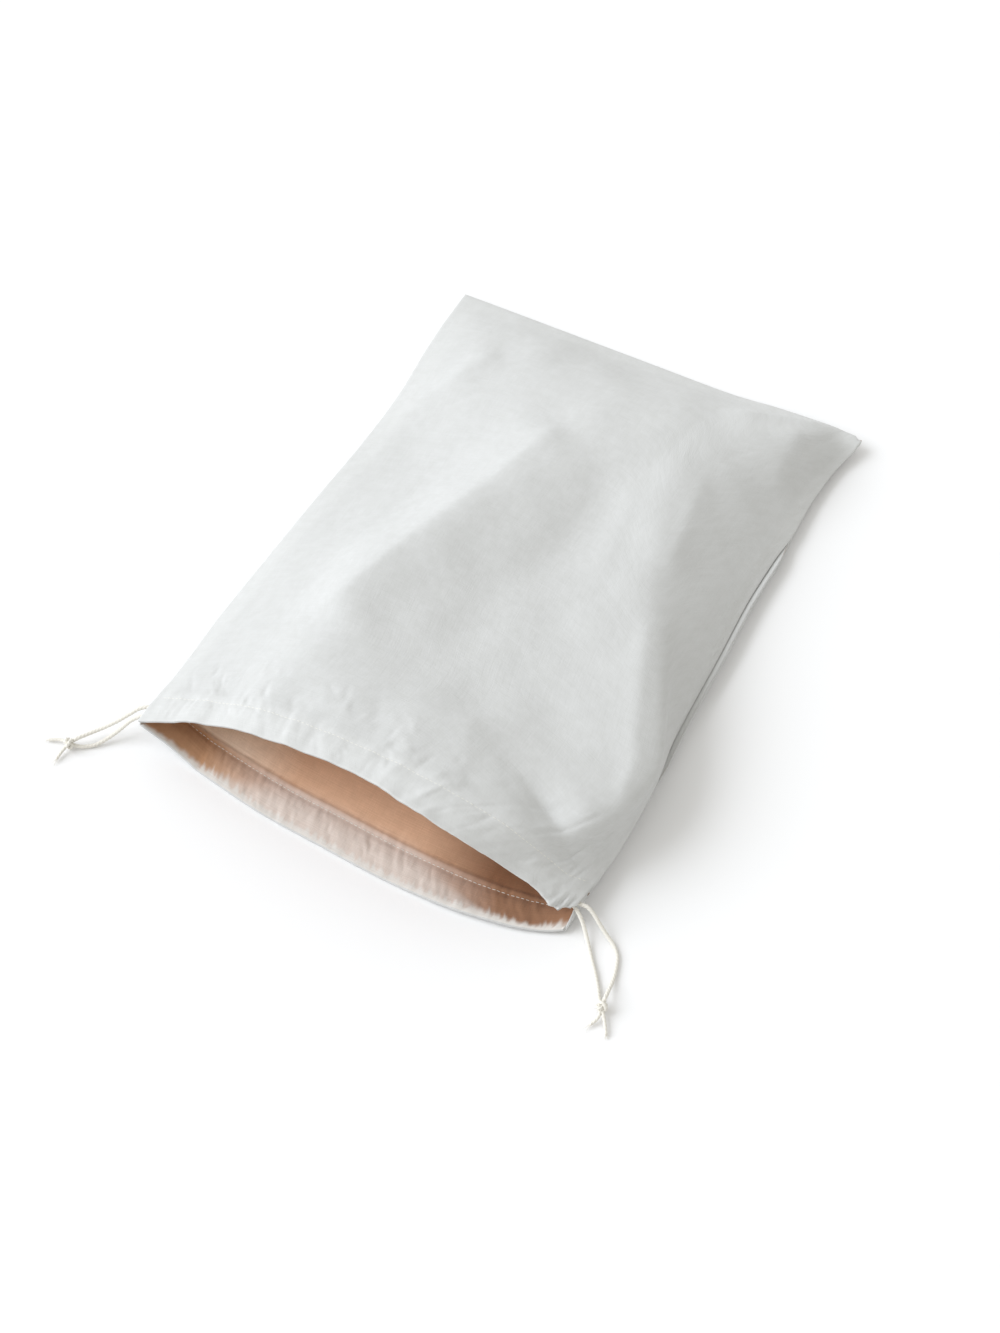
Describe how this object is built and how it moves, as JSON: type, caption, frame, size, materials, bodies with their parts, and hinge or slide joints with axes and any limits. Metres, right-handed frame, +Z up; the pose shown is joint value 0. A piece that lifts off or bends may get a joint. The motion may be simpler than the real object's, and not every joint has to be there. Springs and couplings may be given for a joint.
{
  "type": "linen drawstring bread bag",
  "caption": "Plain linen drawstring bag for bread, lying with its mouth held open, a knotted pair of drawcord ends at each side.",
  "frame": {"origin": "centre of the bag cloth's box, on the surface the bag lies on", "axes": "+Z up, +Y from the open mouth to the closed end, +X towards the right side seam seen from the mouth"},
  "size_m": [0.3751, 0.449, 0.063],
  "materials": {
    "linen": "plain-woven linen, off-white, washed and matt",
    "cotton_cord": "soft twisted cotton cord, off-white"
  },
  "bodies": {
    "root": {"upper_panel": "linen", "lower_panel": "linen", "left_strand_upper": "cotton_cord", "left_strand_lower": "cotton_cord", "left_knot": "cotton_cord", "right_strand_inner": "cotton_cord", "right_strand_outer": "cotton_cord", "right_knot": "cotton_cord"}
  },
  "joints": []
}
